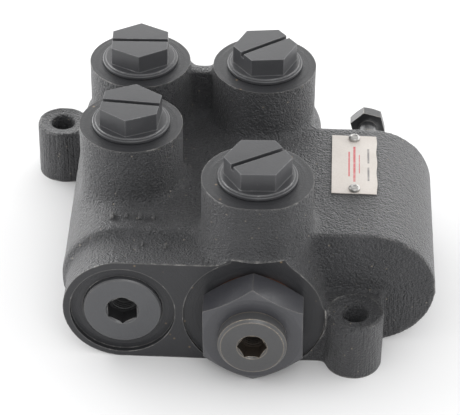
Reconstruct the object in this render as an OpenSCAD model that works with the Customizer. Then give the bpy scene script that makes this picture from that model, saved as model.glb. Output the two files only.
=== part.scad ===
// Cast-iron combination control valve for hydraulics: a two-lug body with four
// top ports, a spool bore on the left, a relief valve in the middle and a
// control piston in the round lobe on the right.
// Origin: centre of the two mounting holes, on the machined base. +Z up, the
// machined front face looks along -Y.

/* [Mounting] */
// Distance from the origin to each mounting hole along X
lug_dx = 89.5; // [86:0.5:94]
// Distance from the origin to each mounting hole along Y
lug_dy = 87; // [84:0.5:90]
// Diameter of the mounting holes
lug_hole_d = 14.3; // [12:0.1:16]
// Height of the mounting lugs
lug_h = 35; // [28:1:40]

/* [Casting] */
// Radius of the mounting lugs
lug_r = 15.4; // [14:0.1:16.5]
// Length of the body from front face to rear face
body_len = 180; // [176:1:190]
// Height of the deck that the port bosses stand on
deck_z = 69; // [67:0.5:71]
// Height of the lower part of the body at the front face
front_z = 65.4; // [63:0.2:67]
// Height of the machined tops of the port bosses
port_z = 105; // [100:1:112]
// Radius of the round lobe
lobe_r = 36.5; // [35:0.5:38]
// Length of the round lobe
lobe_len = 103; // [100:1:106]

/* [Bores] */
// X of the spool bore and of the two left ports
left_x = -37.8; // [-39:0.2:-37]
// X of the relief bore and of the two right ports
right_x = 34.4; // [33:0.2:36]
// X of the control bore in the lobe
lobe_x = 97.2; // [96:0.2:98]
// Height of the spool bore and the relief bore
bore_z = 32; // [31:0.5:33]

/* [Fasteners] */
// Across flats of the moulded port plugs
port_plug_af = 32; // [30:0.5:34]
// Across flats of the relief valve cap
cap_af = 54.2; // [50:0.2:56]
// Across flats of the control stem head and its jam nut
stem_af = 19.05; // [17:0.05:20]

/* [Hidden] */
$fn = 72;

// Small overlap that keeps cuts open, and the running clearance of fitted parts
eps = 0.1;
fit = 0.05;

// Main planes along Y
front_y = -body_len / 2;
rear_y = body_len / 2;
step_y = -65;
lobe_y0 = -69;
lobe_y1 = lobe_y0 + lobe_len;
lobe_z = lobe_r;
lobe_top = 2 * lobe_r;

// Port bosses: [x, y, boss radius, turn of the slot in the plug's head]
PORT_FL = [left_x, -14, 28.8, -5];
PORT_RL = [left_x, 50.2, 29, 2];
PORT_FR = [right_x, -62.2, 30.4, 32];
PORT_RR = [right_x, 49.2, 29.7, 37];
PORTS = [PORT_FL, PORT_RL, PORT_FR, PORT_RR];
boss_root = 30;

// O-ring boss threads: 1-5/16 inch for ports and spool ends, 1-5/8 inch for the
// relief cap, 1-1/16 inch for its cover, 1-1/2 inch for the control bonnet
thread_r = 33.2 / 2;
cap_thread_r = 41.2 / 2;
cover_thread_r = 26.9 / 2;
bonnet_thread_r = 38 / 2;
seal_depth = 3.6;
seal_flare = 2.55;
seal_wire = 1.15;
neck_cut = 1.4;

// Body wall sizes
left_r0 = 35.3;
left_r1 = 38.2;
cap_boss_r = 38;
spotface = 1.6;
left_spot = 3;
left_spot_r = 28.85;
cap_spot_r = 39;
cap_spot_z = 31;
port_passage_r = 13;
port_thread_len = 20;
bridge_y0 = 50;
bridge_t = 8;
bridge_z = 98;

// Spool bore
head_sink = 1.2;
plug_head_r = 21.6;
plug_head_t = 4;
plug_nose_len = 18.4;
spool_r = 15.9;
spool_y0 = -66;
spool_y1 = 34;
end_thread = 20;
groove_r = 22;
groove_w = 24;

// Relief valve, positions along Y
cap_front_y = front_y - 19.2;
cap_seat_y = front_y + spotface;
washer_t = 1.2;
cap_neck_y = -85.5;
cap_thread_end = -74;
cap_nose_end = -50;
cap_nose_r = 17.5;
cap_bore_r = 12;
cover_bore_y = -93;
partition_y = -85;
adjust_r = 6.3;
adjust_y0 = -96.5;
guide_y0 = -79;
guide_t = 4;
poppet_y0 = -64;
poppet_y1 = -46;
poppet_tip = -38;
poppet_tip_r = 6;
pocket_y = -53;
relief_chamber_r = 23;
seat_y0 = -40.9;
seat_y1 = -33;
seat_r = 17;
seat_bore_r = 8.2;

// Control bore in the lobe, positions along Y
bonnet_seat_y = lobe_y1 - 1;
bonnet_hex_t = 12;
bonnet_thread_len = 17;
bonnet_af = 41.3;
piston_r = 17;
piston_y0 = -45;
piston_y1 = -9;
piston_pocket_y = -21;
control_guide_y0 = 24;
control_guide_t = 5;
stem_r = 6.35;
stem_head_y = 88;
stem_head_t = 7.5;
jam_nut_t = 8;

// Name plate
plate_w = 25.5;
plate_l = 56;
plate_t = 0.7;
plate_pos = [87.5, -2.6];
screw_pitch = 49;
screw_shank_r = 1.5;

black_paint = [0.07, 0.07, 0.075];
black_steel = [0.11, 0.11, 0.12];
black_plastic = [0.17, 0.17, 0.18];
steel = [0.55, 0.55, 0.57];
copper = [0.62, 0.33, 0.18];
rubber = [0.05, 0.05, 0.05];
plate_metal = [0.82, 0.82, 0.80];

// ---- placing ----

// A piece drawn along +Z is set with its +Z along -Y, out of the front face
module facing_front(x, y, z) translate([x, y, z]) rotate([90, 0, 0]) children();

// The same, out of the rear face
module facing_rear(x, y, z) translate([x, y, z]) rotate([-90, 0, 0]) children();

// Round bar along Y from y0 to y1
module bar_y(x, z, y0, y1, r) translate([x, y0, z]) rotate([-90, 0, 0]) cylinder(h = y1 - y0, r = r);

// ---- shared shapes ----

// Hexagon bar with both ends turned to a 30 degree chamfer
module hex_bar(af, h, top = true, bottom = false) {
    corner = af / sqrt(3);
    bevel = (corner - af / 2 * 0.985) * 0.577;
    intersection() {
        cylinder(h = h, r = corner, $fn = 6);
        union() {
            translate([0, 0, bottom ? bevel : 0])
                cylinder(h = h - (top ? bevel : 0) - (bottom ? bevel : 0), r = corner + eps);
            if (top) translate([0, 0, h - bevel - 0.001])
                cylinder(h = bevel + 0.001, r1 = corner + eps, r2 = af / 2 * 0.985);
            if (bottom) cylinder(h = bevel + 0.001, r1 = af / 2 * 0.985, r2 = corner + eps);
        }
    }
}

// Threaded hole with the flared seat of an O-ring boss; mouth at z = 0
module boss_thread_cut(r, depth) {
    translate([0, 0, -depth]) cylinder(h = depth + eps, r = r + fit);
    translate([0, 0, -seal_depth]) cylinder(h = seal_depth, r1 = r + fit, r2 = r + fit + seal_flare);
}

// Threaded nose of a plug below its head, necked for the O-ring; head seat at z = 0
module plug_nose(r, length) {
    tip = 1.2;
    translate([0, 0, -length]) cylinder(h = tip, r1 = r - tip, r2 = r);
    translate([0, 0, -length + tip]) cylinder(h = length - tip - seal_depth, r = r);
    translate([0, 0, -seal_depth]) cylinder(h = seal_depth, r = r - neck_cut);
}

// O-ring in that neck
module o_ring(r) translate([0, 0, -1.6]) rotate_extrude()
    translate([r - neck_cut + 0.1 + seal_wire, 0]) circle(r = seal_wire, $fn = 24);

// Hexagon key socket cut down from z = 0, with a countersunk mouth
module key_socket(af, depth, turn) {
    corner = af / sqrt(3);
    translate([0, 0, -depth]) rotate(turn) cylinder(h = depth + eps, r = corner, $fn = 6);
    translate([0, 0, -1]) cylinder(h = 1 + eps, r1 = corner - 0.9, r2 = corner + 0.3);
}

// Round-wire coil spring standing on z = 0
module coil(r_out, wire, length, turns) {
    sides = 8;
    per_turn = 20;
    n = ceil(turns * per_turn);
    w = wire / 2;
    r = r_out - w;
    pts = [for (i = [0:n]) for (k = [0:sides - 1])
        let (a = 360 * turns * i / n, t = 360 * k / sides, h = w + (length - wire) * i / n)
        [(r + w * cos(t)) * cos(a), (r + w * cos(t)) * sin(a), h + w * sin(t)]];
    skin = [for (i = [0:n - 1]) for (k = [0:sides - 1])
        let (a = i * sides + k, b = i * sides + (k + 1) % sides)
        [a, b, b + sides, a + sides]];
    ends = [[for (k = [sides - 1:-1:0]) k], [for (k = [0:sides - 1]) n * sides + k]];
    polyhedron(points = pts, faces = concat(skin, ends), convexity = 8);
}

// ---- casting ----

module body_block() {
    mid_z = deck_z / 2;
    translate([left_x, step_y, mid_z]) rotate([-90, 0, 0])
        cylinder(h = rear_y - step_y, r1 = left_r0, r2 = left_r1);
    bar_y(right_x, mid_z, step_y, rear_y, mid_z);
    translate([left_x, step_y, 0]) cube([right_x - left_x, rear_y - step_y, deck_z]);
    bar_y(left_x, front_z / 2, front_y, step_y + eps, front_z / 2);
    translate([left_x, front_y, 0]) cube([right_x - left_x, step_y - front_y + eps, front_z]);
    bar_y(right_x, cap_spot_z, front_y, lobe_y0 + eps, cap_boss_r);
}

module lobe() {
    bar_y(lobe_x, lobe_z, lobe_y0, lobe_y1, lobe_r);
    translate([right_x, lobe_y0, 0]) cube([lobe_x - right_x, lobe_len, lobe_top]);
}

module port_bosses() {
    for (p = PORTS) translate([p[0], p[1], boss_root]) cylinder(h = port_z - boss_root, r = p[2]);
    translate([left_x, bridge_y0, boss_root])
        cube([right_x - left_x, bridge_t, bridge_z - boss_root]);
}

// One mounting lug
module lug(x, y) translate([x, y, 0]) cylinder(h = lug_h, r1 = lug_r - 0.6, r2 = lug_r);

// Web from the front right lug to the lobe, swept in towards the front face
module front_web() linear_extrude(lug_h - 0.5) polygon([
    [40, lobe_y0 + 1], [40, front_y + 1], [64, front_y], [69, front_y - 2],
    [73, front_y - 5.5], [lug_dx - 11, -lug_dy - 9.5], [lug_dx, -lug_dy],
    [lug_dx + lug_r - 0.6, -lug_dy], [lug_dx + lug_r - 0.6, lobe_y0 + 1]]);

// Tongue from the rear left lug to the side of the body
module rear_web() linear_extrude(lug_h - 0.5) polygon([
    [-50, lug_dy - lug_r + 0.6], [-lug_dx, lug_dy - lug_r + 0.6], [-lug_dx, lug_dy],
    [-lug_dx + 11, lug_dy + 9.5], [-73, rear_y + 5.5], [-69, rear_y + 2],
    [-64, rear_y], [-50, rear_y - 1]]);

module casting() {
    body_block();
    lobe();
    port_bosses();
    lug(lug_dx, -lug_dy);
    lug(-lug_dx, lug_dy);
    front_web();
    rear_web();
}

module port_cuts() {
    for (p = PORTS) translate([p[0], p[1], port_z]) {
        boss_thread_cut(thread_r, port_thread_len);
        translate([0, 0, bore_z - port_z]) cylinder(h = port_z - bore_z, r = port_passage_r);
    }
}

module spool_bore() {
    seat = front_y + left_spot + head_sink;
    bar_y(left_x, bore_z, front_y - eps, front_y + left_spot, left_spot_r);
    bar_y(left_x, bore_z, rear_y - left_spot, rear_y + eps, left_spot_r);
    bar_y(left_x, bore_z, front_y, seat, plug_head_r + 0.3);
    bar_y(left_x, bore_z, -seat, rear_y, plug_head_r + 0.3);
    facing_front(left_x, seat, bore_z) boss_thread_cut(thread_r, end_thread);
    facing_rear(left_x, -seat, bore_z) boss_thread_cut(thread_r, end_thread);
    bar_y(left_x, bore_z, seat, -seat, spool_r);
    for (y = [PORT_FL[1], PORT_RL[1]])
        bar_y(left_x, bore_z, y - groove_w / 2, y + groove_w / 2, groove_r);
}

module relief_bore() {
    chamber_y = -76;
    bar_y(right_x, cap_spot_z, front_y - 10, cap_seat_y, cap_spot_r);
    translate([right_x - 15, front_y - 10, cap_spot_z]) cube([30, 10, deck_z + 1 - cap_spot_z]);
    translate([right_x - 40, front_y - 10, deck_z]) cube([80, 9.4, port_z]);
    bar_y(right_x, bore_z, cap_seat_y - eps, chamber_y + eps, cap_thread_r + fit);
    bar_y(right_x, bore_z, chamber_y, -42, relief_chamber_r);
    bar_y(right_x, bore_z, -42 - eps, seat_y1, seat_r + fit);
    bar_y(right_x, bore_z, seat_y1 - eps, 72, cap_bore_r);
    bar_y(right_x, bore_z, PORT_RR[1] - groove_w / 2, PORT_RR[1] + groove_w / 2, groove_r);
}

module control_bore() {
    bar_y(lobe_x, lobe_z, -50, bonnet_seat_y - bonnet_thread_len, piston_r);
    facing_rear(lobe_x, bonnet_seat_y, lobe_z) boss_thread_cut(bonnet_thread_r, bonnet_thread_len + 1);
    bar_y(lobe_x, lobe_z, bonnet_seat_y, lobe_y1 + eps, 26);
}

// Cored passages that join the three bores
module cross_passages() {
    translate([left_x, 16, bore_z]) rotate([0, 90, 0]) cylinder(h = right_x - left_x, r = 9.5);
    translate([right_x, -20, bore_z + 2]) rotate([0, 90, 0]) cylinder(h = lobe_x - right_x, r = 9.5);
}

module mounting_holes() {
    for (s = [1, -1]) translate([s * lug_dx, -s * lug_dy, 0]) {
        translate([0, 0, -eps]) cylinder(h = lug_h + 2 * eps, r = lug_hole_d / 2);
        translate([0, 0, lug_h - 1.5]) cylinder(h = 1.5 + eps, r1 = lug_hole_d / 2, r2 = lug_hole_d / 2 + 1.4);
    }
}

module plate_screw_holes(r) {
    for (s = [1, -1]) translate([plate_pos[0], plate_pos[1] + s * screw_pitch / 2, lobe_top - 7])
        cylinder(h = 12, r = r);
}

module valve_body() {
    color(black_paint) difference() {
        casting();
        translate([-150, -150, -20]) cube([300, 300, 20]);
        port_cuts();
        spool_bore();
        relief_bore();
        control_bore();
        cross_passages();
        mounting_holes();
        plate_screw_holes(screw_shank_r + fit);
    }
}

// ---- port closures ----

module port_plug(p) {
    flange_r = 21.7;
    flange_t = 2.2;
    hex_top = 13.6;
    color(black_plastic) translate([p[0], p[1], port_z]) difference() {
        union() {
            plug_nose(thread_r, 15);
            cylinder(h = flange_t, r = flange_r);
            translate([0, 0, flange_t]) cylinder(h = 0.7, r1 = 20.2, r2 = 18.8);
            rotate(p[3] + 30) cylinder(h = hex_top, r = port_plug_af / sqrt(3), $fn = 6);
        }
        translate([0, 0, -15 - eps]) cylinder(h = 22, r = 11.5);
        rotate(p[3]) translate([-25, -1.1, hex_top - 2.6]) cube([50, 2.2, 5]);
    }
}

module port_seal(p) color(rubber) translate([p[0], p[1], port_z]) o_ring(thread_r);

// ---- spool bore ----

// Hollow-hexagon steel plug, its head sunk into the face
module spool_end_plug() {
    color(black_steel) difference() {
        union() {
            plug_nose(thread_r, plug_nose_len);
            cylinder(h = plug_head_t - 0.6, r = plug_head_r);
            translate([0, 0, plug_head_t - 0.6])
                cylinder(h = 0.6, r1 = plug_head_r, r2 = plug_head_r - 0.6);
        }
        translate([0, 0, plug_head_t]) key_socket(15.9, 12, 30);
    }
}

module spool_plug_front() facing_front(left_x, front_y + left_spot + head_sink, bore_z) spool_end_plug();
module spool_plug_front_seal()
    color(rubber) facing_front(left_x, front_y + left_spot + head_sink, bore_z) o_ring(thread_r);
module spool_plug_rear() facing_rear(left_x, rear_y - left_spot - head_sink, bore_z) spool_end_plug();
module spool_plug_rear_seal()
    color(rubber) facing_rear(left_x, rear_y - left_spot - head_sink, bore_z) o_ring(thread_r);

// Two-land spool, bored at the rear for its spring and drilled for its damping orifice
module priority_spool() {
    land_r = spool_r - fit;
    color(steel) difference() {
        union() {
            bar_y(left_x, bore_z, spool_y0, -28, land_r);
            bar_y(left_x, bore_z, -28 - eps, 2 + eps, 9.5);
            bar_y(left_x, bore_z, 2, spool_y1, land_r);
        }
        for (y = [-60, -50, -40, 8, 26]) bar_ring(left_x, bore_z, y, land_r);
        bar_y(left_x, bore_z, 10, spool_y1 + eps, 9.5);
        bar_y(left_x, bore_z, spool_y0 - eps, 12, 1.5);
    }
}

// Balancing groove turned in a land of radius r
module bar_ring(x, z, y, r) translate([x, y, z]) rotate([-90, 0, 0])
    rotate_extrude() translate([r - 0.6, 0]) square([2, 1.2]);

module spool_spring()
    color(steel) translate([left_x, 10.2, bore_z]) rotate([-90, 0, 0]) coil(8.9, 2.6, 57, 9);

// ---- relief valve ----

module relief_cap() {
    color(black_steel) difference() {
        union() {
            facing_front(right_x, cap_seat_y - washer_t, bore_z)
                rotate(31) hex_bar(cap_af, cap_seat_y - washer_t - cap_front_y, true, true);
            bar_y(right_x, bore_z, cap_seat_y - washer_t - eps, cap_neck_y, cap_thread_r - neck_cut);
            bar_y(right_x, bore_z, cap_neck_y - eps, cap_thread_end, cap_thread_r);
            bar_y(right_x, bore_z, cap_thread_end - eps, cap_nose_end, cap_nose_r);
        }
        facing_front(right_x, cap_front_y, bore_z)
            boss_thread_cut(cover_thread_r, cover_bore_y - cap_front_y);
        bar_y(right_x, bore_z, cover_bore_y - eps, partition_y + eps, adjust_r + fit);
        bar_y(right_x, bore_z, partition_y, cap_nose_end + eps, cap_bore_r);
        for (a = [45:90:315]) translate([right_x, -68, bore_z]) rotate([0, a, 0])
            cylinder(h = 25, r = 3);
    }
}

module relief_cap_washer() {
    color(copper) difference() {
        bar_y(right_x, bore_z, cap_seat_y - washer_t, cap_seat_y, 26.6);
        bar_y(right_x, bore_z, cap_seat_y - washer_t - eps, cap_seat_y + eps, cap_thread_r + 0.3);
    }
}

module relief_cover_plug() {
    head_r = 18.6;
    color(black_steel) facing_front(right_x, cap_front_y, bore_z) difference() {
        union() {
            plug_nose(cover_thread_r, 9.2);
            cylinder(h = 6.2, r = head_r);
            translate([0, 0, 6.2]) cylinder(h = 1.5, r1 = head_r, r2 = head_r - 1.5);
        }
        translate([0, 0, 7.7]) key_socket(14, 10, 0);
    }
}

module relief_cover_seal()
    color(rubber) facing_front(right_x, cap_front_y, bore_z) o_ring(cover_thread_r);

module relief_adjusting_screw() {
    color(steel) difference() {
        bar_y(right_x, bore_z, adjust_y0, guide_y0 - fit, adjust_r);
        facing_front(right_x, adjust_y0, bore_z)
            translate([0, 0, -5]) cylinder(h = 5 + eps, r = 6 / sqrt(3), $fn = 6);
    }
}

module relief_spring_guide() {
    color(steel) {
        bar_y(right_x, bore_z, guide_y0, guide_y0 + guide_t, cap_bore_r - fit);
        bar_y(right_x, bore_z, guide_y0 + guide_t - eps, guide_y0 + guide_t + 3, 5.4);
    }
}

module relief_spring() color(steel)
    translate([right_x, guide_y0 + guide_t + 0.05, bore_z]) rotate([-90, 0, 0])
        coil(8.8, 2.8, pocket_y - guide_y0 - guide_t - 0.1, 4.5);

module relief_poppet() {
    body_r = cap_bore_r - fit;
    color(steel) difference() {
        union() {
            bar_y(right_x, bore_z, poppet_y0, poppet_y1, body_r);
            facing_rear(right_x, poppet_y1, bore_z)
                cylinder(h = poppet_tip - poppet_y1, r1 = body_r, r2 = poppet_tip_r);
        }
        bar_y(right_x, bore_z, poppet_y0 - eps, pocket_y, 9);
    }
}

module relief_seat() {
    color(steel) difference() {
        bar_y(right_x, bore_z, seat_y0, seat_y1 - 0.02, seat_r);
        bar_y(right_x, bore_z, seat_y0 - eps, seat_y1 + eps, seat_bore_r);
    }
}

// ---- control piston ----

module control_bonnet() {
    color(black_steel) facing_rear(lobe_x, bonnet_seat_y, lobe_z) difference() {
        union() {
            plug_nose(bonnet_thread_r, bonnet_thread_len);
            cylinder(h = 1.2, r = bonnet_af / 2);
            translate([0, 0, 1]) hex_bar(bonnet_af, bonnet_hex_t - 1, true, true);
        }
        translate([0, 0, -bonnet_thread_len - eps]) cylinder(h = bonnet_thread_len + 4, r = 12.5);
        cylinder(h = bonnet_hex_t + eps, r = stem_r + fit);
    }
}

module control_bonnet_seal()
    color(rubber) facing_rear(lobe_x, bonnet_seat_y, lobe_z) o_ring(bonnet_thread_r);

// Adjusting stem with a hexagon head at its outer end
module control_stem() {
    stem_y0 = control_guide_y0 + control_guide_t + fit;
    color(black_steel) {
        bar_y(lobe_x, lobe_z, stem_y0, stem_head_y + eps, stem_r);
        facing_rear(lobe_x, stem_head_y, lobe_z) rotate(15) hex_bar(stem_af, stem_head_t);
    }
}

module control_jam_nut() {
    color(black_steel) facing_rear(lobe_x, bonnet_seat_y + bonnet_hex_t, lobe_z) difference() {
        hex_bar(stem_af, jam_nut_t, true, true);
        translate([0, 0, -eps]) cylinder(h = jam_nut_t + 2 * eps, r = stem_r + fit);
    }
}

module control_spring_guide() {
    y1 = control_guide_y0 + control_guide_t;
    color(steel) {
        bar_y(lobe_x, lobe_z, control_guide_y0, y1, 12.45);
        bar_y(lobe_x, lobe_z, control_guide_y0 - 4, control_guide_y0 + eps, 7.8);
    }
}

module control_spring() color(steel)
    translate([lobe_x, piston_pocket_y + 0.05, lobe_z]) rotate([-90, 0, 0])
        coil(11.6, 3.2, control_guide_y0 - piston_pocket_y - 0.1, 6);

module control_piston() {
    color(steel) difference() {
        bar_y(lobe_x, lobe_z, piston_y0, piston_y1, piston_r - fit);
        bar_y(lobe_x, lobe_z, piston_pocket_y, piston_y1 + eps, 12);
        for (y = [-40, -33, -26]) bar_ring(lobe_x, lobe_z, y, piston_r - fit);
        bar_y(lobe_x, lobe_z, piston_y0 - eps, piston_pocket_y + eps, 1.2);
    }
}

// ---- name plate ----

module name_plate() {
    color(plate_metal) difference() {
        translate([plate_pos[0] - plate_w / 2, plate_pos[1] - plate_l / 2, lobe_top])
            cube([plate_w, plate_l, plate_t]);
        plate_screw_holes(screw_shank_r + 0.1);
    }
}

module plate_screws() {
    color(steel) for (s = [1, -1])
        translate([plate_pos[0], plate_pos[1] + s * screw_pitch / 2, lobe_top]) {
            translate([0, 0, -6]) cylinder(h = 6 + plate_t + eps, r = screw_shank_r);
            translate([0, 0, plate_t]) cylinder(h = 1.5, r = 3.2);
            translate([0, 0, plate_t + 1.5]) cylinder(h = 0.9, r1 = 3.2, r2 = 2);
        }
}

valve_body();
port_plug(PORT_FL);  // port_plug_front_left
port_plug(PORT_RL);  // port_plug_rear_left
port_plug(PORT_FR);  // port_plug_front_right
port_plug(PORT_RR);  // port_plug_rear_right
port_seal(PORT_FL);  // port_seal_front_left
port_seal(PORT_RL);  // port_seal_rear_left
port_seal(PORT_FR);  // port_seal_front_right
port_seal(PORT_RR);  // port_seal_rear_right
spool_plug_front();
spool_plug_front_seal();
spool_plug_rear();
spool_plug_rear_seal();
priority_spool();
spool_spring();
relief_cap();
relief_cap_washer();
relief_cover_plug();
relief_cover_seal();
relief_adjusting_screw();
relief_spring_guide();
relief_spring();
relief_poppet();
relief_seat();
control_bonnet();
control_bonnet_seal();
control_stem();
control_jam_nut();
control_spring_guide();
control_spring();
control_piston();
name_plate();
plate_screws();
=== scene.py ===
# %% [markdown]
# # A hydraulic combination valve, built round its CAD frame
# The real object is a cast-iron valve body with machined faces, four moulded
# port plugs, steel plugs and caps in its bores, and an aluminium name plate.
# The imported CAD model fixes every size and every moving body. This script
# gives each visible piece its cast, turned or moulded shape, and its finish.

# %% Load the fixed frame
import bpy
import bmesh
import math
from mathutils import Matrix, Vector


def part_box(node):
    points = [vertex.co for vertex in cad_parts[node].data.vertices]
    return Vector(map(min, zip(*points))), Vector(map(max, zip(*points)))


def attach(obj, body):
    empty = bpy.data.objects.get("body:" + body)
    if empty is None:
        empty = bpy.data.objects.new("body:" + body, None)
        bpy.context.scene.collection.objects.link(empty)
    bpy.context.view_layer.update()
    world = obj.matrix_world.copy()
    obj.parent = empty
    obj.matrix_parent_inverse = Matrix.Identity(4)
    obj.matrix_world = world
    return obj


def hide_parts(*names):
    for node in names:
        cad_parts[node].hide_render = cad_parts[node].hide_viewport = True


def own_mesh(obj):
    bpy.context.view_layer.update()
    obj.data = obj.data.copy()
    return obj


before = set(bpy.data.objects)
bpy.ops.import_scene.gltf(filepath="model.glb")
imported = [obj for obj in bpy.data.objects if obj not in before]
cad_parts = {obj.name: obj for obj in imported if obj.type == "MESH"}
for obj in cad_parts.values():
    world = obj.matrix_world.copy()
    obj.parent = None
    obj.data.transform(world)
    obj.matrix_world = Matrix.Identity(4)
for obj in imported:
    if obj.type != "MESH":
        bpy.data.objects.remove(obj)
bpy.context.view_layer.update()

# %% [markdown]
# ## Sizes
# A maker's drawing gives sizes in millimetres. Blender works in metres, so a
# small function converts them. Centre lines come from the CAD boxes, so a
# piece can't drift away from the bore that it sits in.

# %% Units and centre lines
MM = 0.001


def mid(node, axis):
    """Middle of a CAD node's box along one axis, in millimetres."""
    low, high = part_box(node)
    return (low[axis] + high[axis]) / 2 / MM


def low_of(node, axis):
    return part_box(node)[0][axis] / MM


def high_of(node, axis):
    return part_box(node)[1][axis] / MM


LEFT_X = mid("spool_plug_front", 0)
RIGHT_X = mid("relief_cover_plug", 0)
BORE_Z = mid("relief_cover_plug", 2)
LOBE_X = mid("control_jam_nut", 0)
LOBE_Z = mid("control_jam_nut", 2)
FRONT_Y, REAR_Y = -90.0, 90.0  # the milled front face and the rear face
PORT_Z = 105.0  # the milled tops of the port bosses
print(f"spool bore x {LEFT_X:.1f}, relief bore x {RIGHT_X:.1f}, both at z {BORE_Z:.1f}")
print(f"control bore x {LOBE_X:.1f}, z {LOBE_Z:.1f}")

# %% Ports: name, boss radius and the turn of the slot in the plug's head
PORT_FACTS = {
    "front_left": (28.8, -5), "rear_left": (29.0, 2),
    "front_right": (30.4, 32), "rear_right": (29.7, 37),
}
PORTS = {}
for name, (boss_r, turn) in PORT_FACTS.items():
    PORTS[name] = (mid("port_seal_" + name, 0), mid("port_seal_" + name, 1), boss_r, turn)
    print(name, [round(v, 1) for v in PORTS[name]])

# %% [markdown]
# ## Turned and milled shapes
# Most fittings are turned on a lathe, then milled to a hexagon or drilled. The
# script does the same: a profile of radius and height is turned round an axis,
# a prism stands for the hexagon, and booleans do the milling. Every shape is a
# closed skin with its faces outwards, so the booleans are clean.


# %% Mesh helpers
def new_object(name, verts, faces):
    mesh = bpy.data.meshes.new(name)
    mesh.from_pydata(verts, [], faces)
    obj = bpy.data.objects.new(name, mesh)
    bpy.context.scene.collection.objects.link(obj)
    return obj


def face_outwards(obj):
    bm = bmesh.new()
    bm.from_mesh(obj.data)
    bmesh.ops.remove_doubles(bm, verts=bm.verts, dist=1e-7)
    bmesh.ops.recalc_face_normals(bm, faces=bm.faces)
    bm.to_mesh(obj.data)
    bm.free()
    return obj


def place(obj, where=(0, 0, 0), turn=Matrix.Identity(4)):
    """Moves the mesh itself, so the object stays at the origin. Takes millimetres."""
    obj.data.transform(Matrix.Translation(Vector(where) * MM) @ turn)
    return obj


TO_FRONT = Matrix.Rotation(math.radians(90), 4, "X")
TO_REAR = Matrix.Rotation(math.radians(-90), 4, "X")
TO_RIGHT = Matrix.Rotation(math.radians(90), 4, "Y")


def turned(name, profile, steps=96):
    """Turns (radius, height) pairs round Z. A profile off the axis is closed into a ring."""
    rows, verts, faces = [], [], []
    for r, h in profile:
        if r < 1e-6:
            rows.append([len(verts)])
            verts.append((0, 0, h * MM))
        else:
            rows.append(list(range(len(verts), len(verts) + steps)))
            verts += [(r * MM * math.cos(2 * math.pi * i / steps),
                       r * MM * math.sin(2 * math.pi * i / steps), h * MM) for i in range(steps)]
    pairs = list(zip(rows, rows[1:]))
    if len(rows[0]) > 1 and len(rows[-1]) > 1:
        pairs.append((rows[-1], rows[0]))
    for a, b in pairs:
        for i in range(steps):
            j = (i + 1) % steps
            if len(a) == 1:
                faces.append((a[0], b[j], b[i]))
            elif len(b) == 1:
                faces.append((a[i], a[j], b[0]))
            else:
                faces.append((a[i], a[j], b[j], b[i]))
    return face_outwards(new_object(name, verts, faces))


def rod(name, r, h0, h1, steps=96):
    return turned(name, [(0, h0), (r, h0), (r, h1), (0, h1)], steps)


def prism(name, points, h0, h1):
    n = len(points)
    verts = [(x * MM, y * MM, h0 * MM) for x, y in points] + [(x * MM, y * MM, h1 * MM) for x, y in points]
    faces = [tuple(range(n - 1, -1, -1)), tuple(range(n, 2 * n))]
    faces += [(i, (i + 1) % n, n + (i + 1) % n, n + i) for i in range(n)]
    return face_outwards(new_object(name, verts, faces))


def hexagon(name, flats, h0, h1, turn=0.0):
    r = flats / math.sqrt(3)
    return prism(name, [(r * math.cos(math.radians(turn + 60 * i)), r * math.sin(math.radians(turn + 60 * i)))
                        for i in range(6)], h0, h1)


def block(name, x0, x1, y0, y1, z0, z1):
    return prism(name, [(x0, y0), (x1, y0), (x1, y1), (x0, y1)], z0, z1)


# %% Boolean, bevel and smoothing helpers
def settle(obj):
    """Replaces the object's mesh by its evaluated mesh and drops the modifiers."""
    graph = bpy.context.evaluated_depsgraph_get()
    mesh = bpy.data.meshes.new_from_object(obj.evaluated_get(graph), depsgraph=graph)
    obj.modifiers.clear()
    old, obj.data = obj.data, mesh
    bpy.data.meshes.remove(old)
    return obj


def drop(obj):
    mesh = obj.data
    bpy.data.objects.remove(obj)
    bpy.data.meshes.remove(mesh)


def machine(obj, tool, operation="DIFFERENCE"):
    """One boolean with one tool. Each new face keeps the tool's material."""
    step = obj.modifiers.new("cut", "BOOLEAN")
    step.operation, step.solver, step.object = operation, "MANIFOLD", tool
    settle(obj)
    drop(tool)
    return obj


def soften(obj, width, segments=2, angle=30, flats=True):
    """Breaks the sharp edges, as deburring does, and shades the rest smooth.
    Weighted normals keep the large flats flat right up to a broken edge."""
    if width:
        bevel = obj.modifiers.new("edge", "BEVEL")
        bevel.width, bevel.segments, bevel.limit_method = width * MM, segments, "ANGLE"
        bevel.angle_limit = math.radians(angle)
        bevel.harden_normals = False
        settle(obj)
    for poly in obj.data.polygons:
        poly.use_smooth = True
    obj.data.set_sharp_from_angle(angle=math.radians(angle))
    if flats:
        even = obj.modifiers.new("flats", "WEIGHTED_NORMAL")
        even.keep_sharp, even.weight = True, 100
        settle(obj)
    return obj


def finish_piece(obj, material, body, slot, *nodes):
    """Gives a finished piece its material, parents it to its body's empty, and hides the CAD nodes that it
    stands for.
    """
    if material:
        obj.data.materials.clear()
        obj.data.materials.append(material)
    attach(obj, body)
    if nodes:
        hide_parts(*nodes)
    print(f"{obj.name}: {len(obj.data.polygons)} faces on {body}")
    return obj


# %% [markdown]
# ## Node trees written as sums
# Both the casting's shape and the materials need a good deal of arithmetic in
# nodes. Wiring each Math node by hand hides the sum, so one small class turns
# a call into a node, and a formula reads as a formula.

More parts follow.
